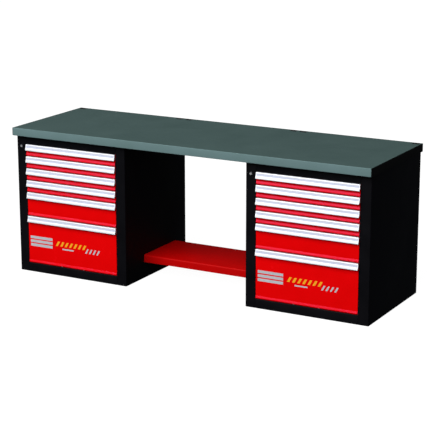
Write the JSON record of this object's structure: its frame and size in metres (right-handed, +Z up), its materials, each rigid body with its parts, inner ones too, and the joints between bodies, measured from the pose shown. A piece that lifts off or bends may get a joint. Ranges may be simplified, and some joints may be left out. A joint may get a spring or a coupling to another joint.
{
  "type": "workbench with drawers",
  "caption": "Two steel drawer cabinets under one long thick worktop, with a low shelf between them, full-width drawer handles, telescopic slides and a lock on each cabinet.",
  "frame": {"origin": "centre of the whole bench on the floor", "axes": "+X along the bench to the right as seen from the front, -Y out of the drawer fronts, +Z up"},
  "size_m": [2.366, 0.756, 0.905],
  "materials": {
    "worktop_laminate": "matt grey laminate over plywood",
    "black_paint": "fine textured black powder coat",
    "red_paint": "satin red powder coat",
    "handle_aluminium": "clear anodised",
    "tray_steel": "light grey powder coat",
    "zinc_steel": "bright zinc plate",
    "lock_chrome": "polished",
    "black_plastic": "moulded",
    "label_card": "blank card under a clear cover",
    "sticker_grey": "plain printed film",
    "sticker_yellow": "plain printed film"
  },
  "bodies": {
    "bench": {"worktop": "worktop_laminate", "slot_plugs": "black_plastic", "shelf": "red_paint", "mounting_bolts": "zinc_steel", "fixed_rails": "zinc_steel", "lock_barrels": "lock_chrome", "left_housing": "black_paint", "right_housing": "black_paint"},
    "left_lock": {"left_lock_core": "lock_chrome"},
    "left_bar": {"left_lock_bar": "zinc_steel"},
    "left_drawer_1": {"left_front_1": "red_paint", "left_handle_1": "handle_aluminium", "left_tray_1": "tray_steel"},
    "left_middle_rails_1": {"left_slide_1": "zinc_steel"},
    "left_drawer_2": {"left_front_2": "red_paint", "left_handle_2": "handle_aluminium", "left_tray_2": "tray_steel"},
    "left_middle_rails_2": {"left_slide_2": "zinc_steel"},
    "left_drawer_3": {"left_front_3": "red_paint", "left_handle_3": "handle_aluminium", "left_tray_3": "tray_steel"},
    "left_middle_rails_3": {"left_slide_3": "zinc_steel"},
    "left_drawer_4": {"left_front_4": "red_paint", "left_handle_4": "handle_aluminium", "left_tray_4": "tray_steel"},
    "left_middle_rails_4": {"left_slide_4": "zinc_steel"},
    "left_drawer_5": {"left_front_5": "red_paint", "left_handle_5": "handle_aluminium", "left_tray_5": "tray_steel"},
    "left_middle_rails_5": {"left_slide_5": "zinc_steel"},
    "left_drawer_6": {"left_front_6": "red_paint", "left_handle_6": "handle_aluminium", "left_tray_6": "tray_steel"},
    "left_middle_rails_6": {"left_slide_6": "zinc_steel"},
    "right_lock": {"right_lock_core": "lock_chrome"},
    "right_bar": {"right_lock_bar": "zinc_steel"},
    "right_drawer_1": {"right_front_1": "red_paint", "right_handle_1": "handle_aluminium", "right_tray_1": "tray_steel"},
    "right_middle_rails_1": {"right_slide_1": "zinc_steel"},
    "right_drawer_2": {"right_front_2": "red_paint", "right_handle_2": "handle_aluminium", "right_tray_2": "tray_steel"},
    "right_middle_rails_2": {"right_slide_2": "zinc_steel"},
    "right_drawer_3": {"right_front_3": "red_paint", "right_handle_3": "handle_aluminium", "right_tray_3": "tray_steel"},
    "right_middle_rails_3": {"right_slide_3": "zinc_steel"},
    "right_drawer_4": {"right_front_4": "red_paint", "right_handle_4": "handle_aluminium", "right_tray_4": "tray_steel"},
    "right_middle_rails_4": {"right_slide_4": "zinc_steel"},
    "right_drawer_5": {"right_front_5": "red_paint", "right_handle_5": "handle_aluminium", "right_tray_5": "tray_steel"},
    "right_middle_rails_5": {"right_slide_5": "zinc_steel"},
    "right_drawer_6": {"right_front_6": "red_paint", "right_handle_6": "handle_aluminium", "right_tray_6": "tray_steel"},
    "right_middle_rails_6": {"right_slide_6": "zinc_steel"}
  },
  "joints": [
    {"name": "left_lock_turn", "type": "hinge", "parent": "bench", "child": "left_lock", "pos_m": [-1.141, -0.345, 0.79], "axis": [0, -1, 0], "range_deg": [0, 90]},
    {"name": "left_bar_lift", "type": "slide", "parent": "bench", "child": "left_bar", "axis": [0, 0, 1], "range_m": [0, 0.007]},
    {"name": "left_drawer_1_slide", "type": "slide", "parent": "bench", "child": "left_drawer_1", "axis": [0, -1, 0], "range_m": [0, 0.6]},
    {"name": "left_rails_1_slide", "type": "slide", "parent": "bench", "child": "left_middle_rails_1", "axis": [0, -1, 0], "range_m": [0, 0.3]},
    {"name": "left_drawer_2_slide", "type": "slide", "parent": "bench", "child": "left_drawer_2", "axis": [0, -1, 0], "range_m": [0, 0.6]},
    {"name": "left_rails_2_slide", "type": "slide", "parent": "bench", "child": "left_middle_rails_2", "axis": [0, -1, 0], "range_m": [0, 0.3]},
    {"name": "left_drawer_3_slide", "type": "slide", "parent": "bench", "child": "left_drawer_3", "axis": [0, -1, 0], "range_m": [0, 0.6]},
    {"name": "left_rails_3_slide", "type": "slide", "parent": "bench", "child": "left_middle_rails_3", "axis": [0, -1, 0], "range_m": [0, 0.3]},
    {"name": "left_drawer_4_slide", "type": "slide", "parent": "bench", "child": "left_drawer_4", "axis": [0, -1, 0], "range_m": [0, 0.6]},
    {"name": "left_rails_4_slide", "type": "slide", "parent": "bench", "child": "left_middle_rails_4", "axis": [0, -1, 0], "range_m": [0, 0.3]},
    {"name": "left_drawer_5_slide", "type": "slide", "parent": "bench", "child": "left_drawer_5", "axis": [0, -1, 0], "range_m": [0, 0.6]},
    {"name": "left_rails_5_slide", "type": "slide", "parent": "bench", "child": "left_middle_rails_5", "axis": [0, -1, 0], "range_m": [0, 0.3]},
    {"name": "left_drawer_6_slide", "type": "slide", "parent": "bench", "child": "left_drawer_6", "axis": [0, -1, 0], "range_m": [0, 0.6]},
    {"name": "left_rails_6_slide", "type": "slide", "parent": "bench", "child": "left_middle_rails_6", "axis": [0, -1, 0], "range_m": [0, 0.3]},
    {"name": "right_lock_turn", "type": "hinge", "parent": "bench", "child": "right_lock", "pos_m": [0.435, -0.345, 0.79], "axis": [0, -1, 0], "range_deg": [0, 90]},
    {"name": "right_bar_lift", "type": "slide", "parent": "bench", "child": "right_bar", "axis": [0, 0, 1], "range_m": [0, 0.007]},
    {"name": "right_drawer_1_slide", "type": "slide", "parent": "bench", "child": "right_drawer_1", "axis": [0, -1, 0], "range_m": [0, 0.6]},
    {"name": "right_rails_1_slide", "type": "slide", "parent": "bench", "child": "right_middle_rails_1", "axis": [0, -1, 0], "range_m": [0, 0.3]},
    {"name": "right_drawer_2_slide", "type": "slide", "parent": "bench", "child": "right_drawer_2", "axis": [0, -1, 0], "range_m": [0, 0.6]},
    {"name": "right_rails_2_slide", "type": "slide", "parent": "bench", "child": "right_middle_rails_2", "axis": [0, -1, 0], "range_m": [0, 0.3]},
    {"name": "right_drawer_3_slide", "type": "slide", "parent": "bench", "child": "right_drawer_3", "axis": [0, -1, 0], "range_m": [0, 0.6]},
    {"name": "right_rails_3_slide", "type": "slide", "parent": "bench", "child": "right_middle_rails_3", "axis": [0, -1, 0], "range_m": [0, 0.3]},
    {"name": "right_drawer_4_slide", "type": "slide", "parent": "bench", "child": "right_drawer_4", "axis": [0, -1, 0], "range_m": [0, 0.6]},
    {"name": "right_rails_4_slide", "type": "slide", "parent": "bench", "child": "right_middle_rails_4", "axis": [0, -1, 0], "range_m": [0, 0.3]},
    {"name": "right_drawer_5_slide", "type": "slide", "parent": "bench", "child": "right_drawer_5", "axis": [0, -1, 0], "range_m": [0, 0.6]},
    {"name": "right_rails_5_slide", "type": "slide", "parent": "bench", "child": "right_middle_rails_5", "axis": [0, -1, 0], "range_m": [0, 0.3]},
    {"name": "right_drawer_6_slide", "type": "slide", "parent": "bench", "child": "right_drawer_6", "axis": [0, -1, 0], "range_m": [0, 0.6]},
    {"name": "right_rails_6_slide", "type": "slide", "parent": "bench", "child": "right_middle_rails_6", "axis": [0, -1, 0], "range_m": [0, 0.3]}
  ],
  "couplings": [
    {"joint": "left_lock_turn", "follows": "left_bar_lift", "rad_per_m": 224.39},
    {"joint": "left_rails_1_slide", "follows": "left_drawer_1_slide", "ratio": 0.5},
    {"joint": "left_rails_2_slide", "follows": "left_drawer_2_slide", "ratio": 0.5},
    {"joint": "left_rails_3_slide", "follows": "left_drawer_3_slide", "ratio": 0.5},
    {"joint": "left_rails_4_slide", "follows": "left_drawer_4_slide", "ratio": 0.5},
    {"joint": "left_rails_5_slide", "follows": "left_drawer_5_slide", "ratio": 0.5},
    {"joint": "left_rails_6_slide", "follows": "left_drawer_6_slide", "ratio": 0.5},
    {"joint": "right_lock_turn", "follows": "right_bar_lift", "rad_per_m": 224.39},
    {"joint": "right_rails_1_slide", "follows": "right_drawer_1_slide", "ratio": 0.5},
    {"joint": "right_rails_2_slide", "follows": "right_drawer_2_slide", "ratio": 0.5},
    {"joint": "right_rails_3_slide", "follows": "right_drawer_3_slide", "ratio": 0.5},
    {"joint": "right_rails_4_slide", "follows": "right_drawer_4_slide", "ratio": 0.5},
    {"joint": "right_rails_5_slide", "follows": "right_drawer_5_slide", "ratio": 0.5},
    {"joint": "right_rails_6_slide", "follows": "right_drawer_6_slide", "ratio": 0.5}
  ]
}
